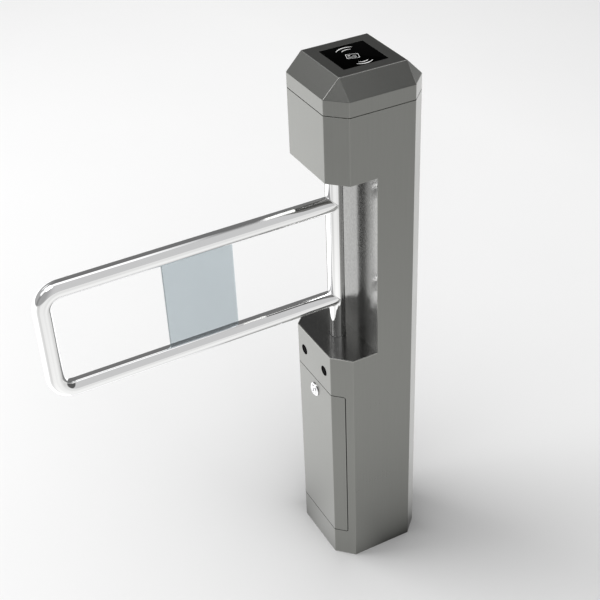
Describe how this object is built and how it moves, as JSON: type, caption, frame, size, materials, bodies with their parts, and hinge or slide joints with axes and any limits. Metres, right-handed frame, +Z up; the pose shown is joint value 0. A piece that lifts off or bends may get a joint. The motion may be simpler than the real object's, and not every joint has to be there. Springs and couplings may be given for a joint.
{
  "type": "swing barrier gate",
  "caption": "Octagonal stainless post with a cut-out bay, a bent-tube swing arm with a tinted panel, a contactless reader in its cap and a drop-down service door.",
  "frame": {"origin": "centre of the post's footprint, on the floor", "axes": "+Z up; the closed arm points along -X; people pass along Y; the service door is on the -X face"},
  "size_m": [0.6673, 0.18, 1.0152],
  "materials": {
    "brushed_steel": "satin brushed stainless sheet, vertical grain",
    "bay_steel": "fine mottled stainless sheet, brighter and glossier than the outside",
    "polished_tube": "mirror-polished stainless tube",
    "chrome_lock": "polished chrome",
    "tinted_panel": "clear acrylic with a light blue-grey tint",
    "black_window": "glossy black acrylic",
    "black_plastic": "moulded matt black plastic",
    "rubber": "matt rubber",
    "cable_sheath": "black cable sheath",
    "board": "green solder-masked circuit board",
    "terminal_green": "green terminal plastic",
    "motor_black": "black painted motor can",
    "brake_black": "black painted coil housing",
    "plate_steel": "plain steel plate",
    "bearing_steel": "ground bearing steel",
    "gear_steel": "machined steel, oiled",
    "shaft_steel": "turned steel",
    "cast_housing": "cast aluminium",
    "perforated_case": "folded aluminium case",
    "zinc_plated": "bright zinc plate"
  },
  "bodies": {
    "post": {"base_plate": "plate_steel", "bay_liner": "bay_steel", "board_tray": "zinc_plated", "brake_coil": "brake_black", "cable_gland": "black_plastic", "cap_lock_housing": "chrome_lock", "control_board": "board", "door_hinge_base_left": "zinc_plated", "door_hinge_base_right": "zinc_plated", "door_keeper": "zinc_plated", "drive_base_plate": "plate_steel", "drive_motor": "motor_black", "drive_pillar_front_left": "zinc_plated", "drive_pillar_front_right": "zinc_plated", "drive_pillar_rear_left": "zinc_plated", "drive_pillar_rear_right": "zinc_plated", "drive_top_plate": "plate_steel", "foot_bearing": "bearing_steel", "gearbox": "cast_housing", "housing_shell": "brushed_steel", "ir_lens_left": "black_window", "ir_lens_right": "black_window", "ir_sensor_left": "black_plastic", "ir_sensor_right": "black_plastic", "lower_bearing": "bearing_steel", "mains_cable": "cable_sheath", "motor_cable": "cable_sheath", "position_sensor": "black_plastic", "power_supply": "perforated_case", "reader_cable": "cable_sheath", "stop_buffer_left": "rubber", "stop_buffer_right": "rubber", "terminal_block": "terminal_green", "upper_bearing": "bearing_steel", "upper_bearing_plate": "plate_steel"},
    "gate": {"pivot_tube": "polished_tube", "arm_loop": "polished_tube", "gate_panel": "tinted_panel", "upper_shaft": "shaft_steel", "upper_collar": "shaft_steel", "lower_shaft": "shaft_steel", "stop_arm": "shaft_steel", "brake_armature": "shaft_steel", "position_disc": "shaft_steel", "drive_gear": "gear_steel"},
    "rotor": {"motor_pinion": "gear_steel"},
    "door": {"door_panel": "brushed_steel", "door_lock_housing": "chrome_lock", "door_lock_nut": "zinc_plated", "door_hinge_leaf_left": "zinc_plated", "door_hinge_leaf_right": "zinc_plated"},
    "door_lock": {"door_lock_plug": "chrome_lock", "door_lock_cam": "zinc_plated"},
    "cap": {"top_cap": "brushed_steel", "cap_spigot": "zinc_plated", "reader_window": "black_window", "reader_module": "black_plastic", "cap_latch_tongue": "zinc_plated"},
    "cap_lock": {"cap_lock_plug": "chrome_lock", "cap_lock_cam": "zinc_plated"}
  },
  "joints": [
    {"name": "gate_swing", "type": "hinge", "parent": "post", "child": "gate", "pos_m": [-0.04, 0, 0.486], "axis": [0, 0, 1], "range_deg": [-90, 90]},
    {"name": "rotor_spin", "type": "hinge", "parent": "post", "child": "rotor", "pos_m": [0.02, 0, 0.461], "axis": [0, 0, 1], "range_deg": [-180, 180]},
    {"name": "door_drop", "type": "hinge", "parent": "post", "child": "door", "pos_m": [-0.086, 0, 0.066], "axis": [0, -1, 0], "range_deg": [0, 90]},
    {"name": "door_lock_turn", "type": "hinge", "parent": "door", "child": "door_lock", "pos_m": [-0.09, 0, 0.374], "axis": [1, 0, 0], "range_deg": [0, 90]},
    {"name": "cap_lift", "type": "slide", "parent": "post", "child": "cap", "axis": [0, 0, 1], "range_m": [0, 0.08]},
    {"name": "cap_lock_turn", "type": "hinge", "parent": "post", "child": "cap_lock", "pos_m": [0.09, 0, 0.93], "axis": [-1, 0, 0], "range_deg": [0, 90]}
  ],
  "couplings": [
    {"joint": "rotor_spin", "follows": "gate_swing", "ratio": -2}
  ]
}
